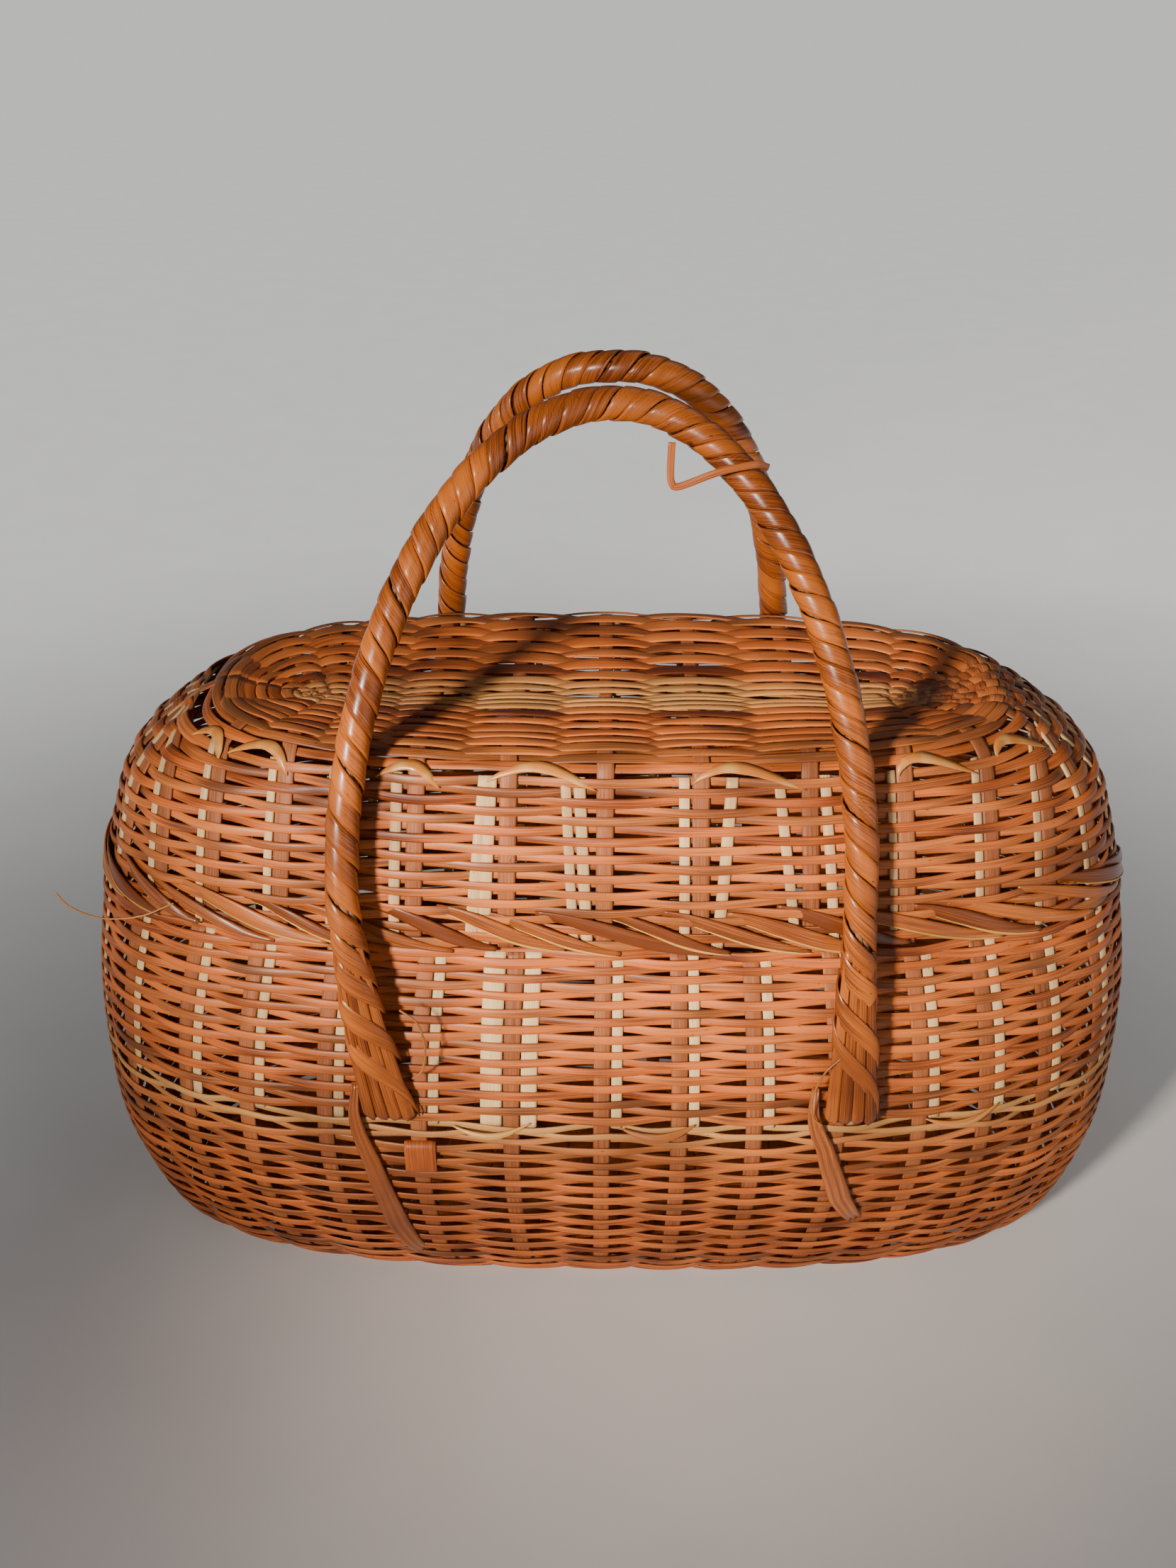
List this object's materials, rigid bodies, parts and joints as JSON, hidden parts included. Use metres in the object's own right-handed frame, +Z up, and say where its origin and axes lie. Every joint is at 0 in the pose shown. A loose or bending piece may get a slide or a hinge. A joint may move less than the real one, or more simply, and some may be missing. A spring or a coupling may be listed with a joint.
{
  "type": "lidded market basket",
  "caption": "Long oval woven splint basket with a bellied body, a domed lid hinged at the back and two wrapped hoop handles that swing outwards.",
  "frame": {"origin": "under the middle of the base, on the surface that the basket stands on", "axes": "+X along the basket's length, -Y towards its front, +Z up"},
  "size_m": [0.4312, 0.2123, 0.371],
  "materials": {
    "red_splint": "dull woven splint",
    "brown_splint": "satin splint",
    "honey_splint": "glossy varnished splint",
    "pale_splint": "raw dull splint"
  },
  "bodies": {
    "basket": {"base_pad": "red_splint", "lower_wall": "red_splint", "pale_weaver": "pale_splint", "upper_wall": "red_splint", "body_rim": "brown_splint", "left_hinge_loop": "brown_splint", "right_hinge_loop": "brown_splint", "front_left_tie": "brown_splint", "front_right_tie": "brown_splint", "rear_left_tie": "brown_splint", "rear_right_tie": "brown_splint", "foot_clip": "brown_splint"},
    "lid": {"lid_band": "red_splint", "lid_dome": "red_splint", "lid_border": "honey_splint", "front_tuck_end_1": "honey_splint", "front_tuck_end_2": "honey_splint", "front_tuck_end_3": "honey_splint", "front_tuck_end_4": "honey_splint", "front_tuck_end_5": "honey_splint", "front_tuck_end_6": "honey_splint", "front_tuck_end_7": "honey_splint", "rear_tuck_end_1": "honey_splint", "rear_tuck_end_2": "honey_splint", "rear_tuck_end_3": "honey_splint", "rear_tuck_end_4": "honey_splint", "rear_tuck_end_5": "honey_splint", "rear_tuck_end_6": "honey_splint", "rear_tuck_end_7": "honey_splint"},
    "front_handle": {"front_handle_core": "pale_splint", "front_handle_wrap": "honey_splint", "front_left_foot": "honey_splint", "front_right_foot": "honey_splint"},
    "rear_handle": {"rear_handle_core": "pale_splint", "rear_handle_wrap": "honey_splint", "rear_left_foot": "honey_splint", "rear_right_foot": "honey_splint"}
  },
  "joints": [
    {"name": "lid_hinge", "type": "hinge", "parent": "basket", "child": "lid", "pos_m": [0, 0.09129, 0.17215], "axis": [-1, 0, 0], "range_deg": [0, 100]},
    {"name": "front_handle_swing", "type": "hinge", "parent": "basket", "child": "front_handle", "pos_m": [0, -0.09961, 0.1045], "axis": [1, 0, 0], "range_deg": [0, 80]},
    {"name": "rear_handle_swing", "type": "hinge", "parent": "basket", "child": "rear_handle", "pos_m": [0, 0.10076, 0.1045], "axis": [-1, 0, 0], "range_deg": [0, 80]}
  ],
  "couplings": [
    {"joint": "front_handle_swing", "follows": "lid_hinge", "ratio": 0.75},
    {"joint": "rear_handle_swing", "follows": "lid_hinge", "ratio": 0.75}
  ]
}
